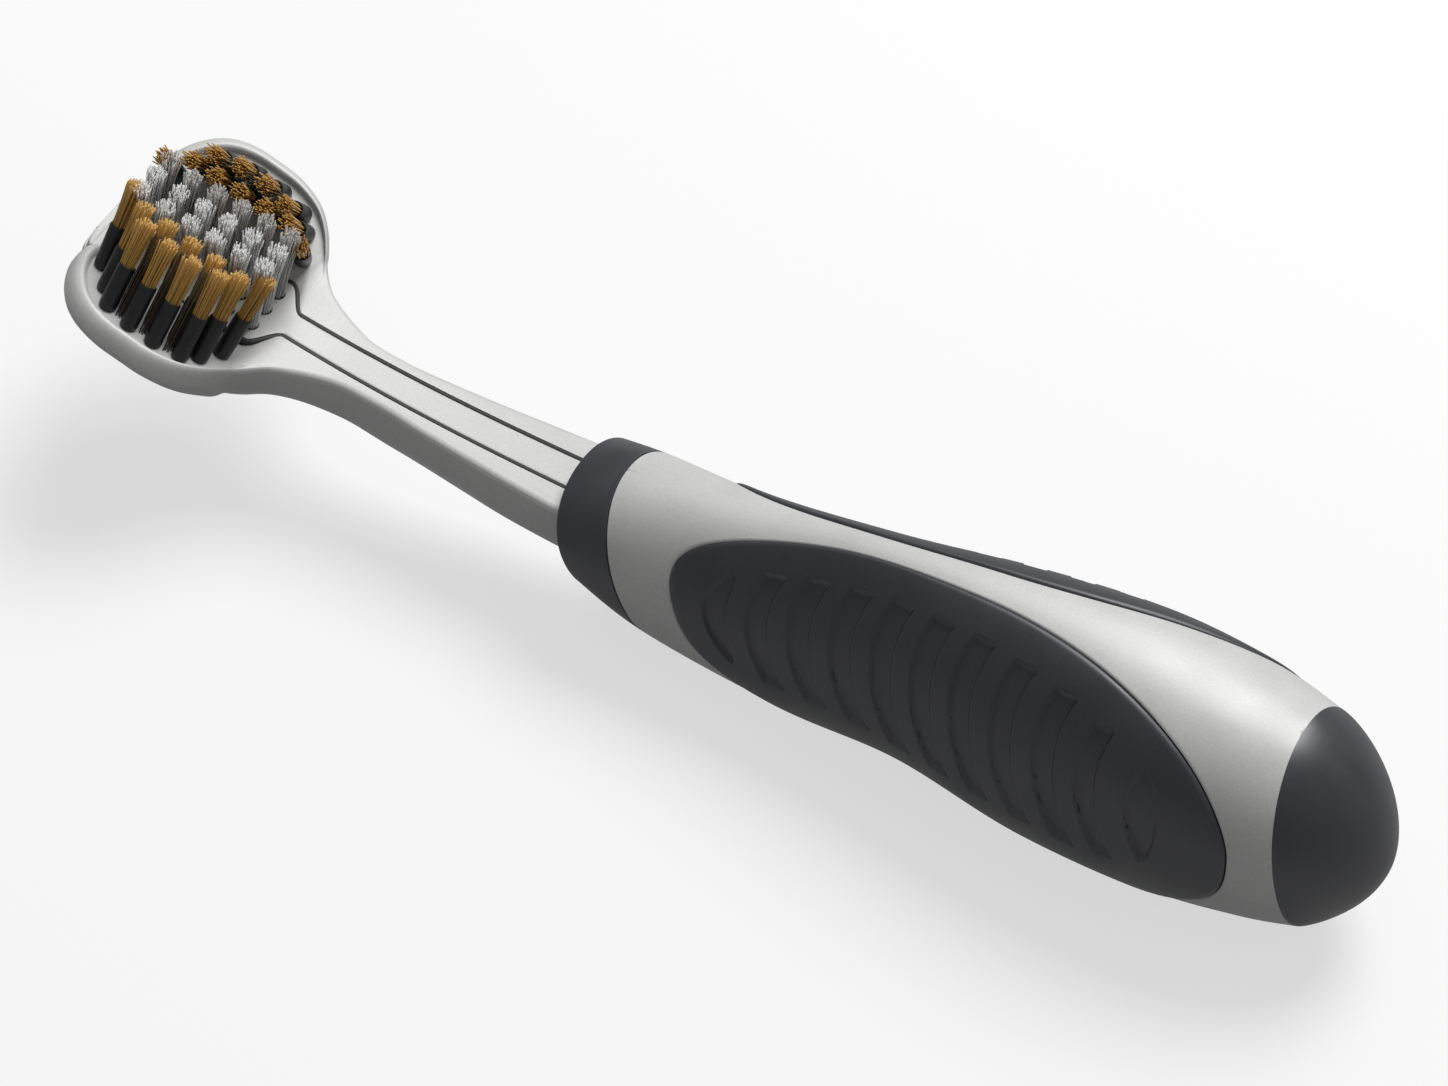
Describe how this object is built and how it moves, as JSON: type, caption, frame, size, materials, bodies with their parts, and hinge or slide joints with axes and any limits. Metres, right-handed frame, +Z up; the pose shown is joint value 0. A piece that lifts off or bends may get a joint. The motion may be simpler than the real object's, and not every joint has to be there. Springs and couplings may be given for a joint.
{
  "type": "manual toothbrush",
  "caption": "Manual toothbrush with a thick satin handle, ribbed soft grips and a wide head of a centre tongue and two sprung wings of bristles that fold outwards.",
  "frame": {"origin": "on the table, below the middle of the outline, with the brush lying on the flats under its handle", "axes": "+X along the brush from the head to the butt, +Z up, out of the bristle side, +Y across it to the right wing; the brush mirrors across the XZ plane but for the two colours of the centre tufts"},
  "size_m": [0.1712, 0.0368, 0.0388],
  "materials": {
    "silver_plastic": "satin metallic, finely speckled",
    "charcoal_rubber": "fine matt",
    "grip_rubber": "fine matt",
    "inlay_rubber": "satin",
    "core_plastic": "plain moulded",
    "white_nylon": "polished strands",
    "clear_nylon": "translucent strands",
    "gold_nylon": "polished strands",
    "black_rubber": "satin"
  },
  "bodies": {
    "handle": {"neck_body": "silver_plastic", "left_hinge_strip": "inlay_rubber", "right_hinge_strip": "inlay_rubber", "collar_ring": "charcoal_rubber", "handle_shell": "silver_plastic", "handle_core": "core_plastic", "left_grip": "grip_rubber", "right_grip": "grip_rubber", "end_cap": "charcoal_rubber", "cap_plug": "core_plastic", "white_tufts": "white_nylon", "clear_tufts": "clear_nylon"},
    "left_wing": {"left_wing": "silver_plastic", "left_wing_tufts": "gold_nylon", "left_sleeves": "black_rubber"},
    "right_wing": {"right_wing": "silver_plastic", "right_wing_tufts": "gold_nylon", "right_sleeves": "black_rubber"}
  },
  "joints": [
    {"name": "left_wing_flex", "type": "hinge", "parent": "handle", "child": "left_wing", "pos_m": [-0.07048, -0.00585, 0.02267], "axis": [0.9823, 0, -0.1874], "range_deg": [-2, 8], "stiffness_Nm_per_rad": 0.02},
    {"name": "right_wing_flex", "type": "hinge", "parent": "handle", "child": "right_wing", "pos_m": [-0.07048, 0.00585, 0.02267], "axis": [-0.9823, 0, 0.1874], "range_deg": [-2, 8], "stiffness_Nm_per_rad": 0.02}
  ]
}
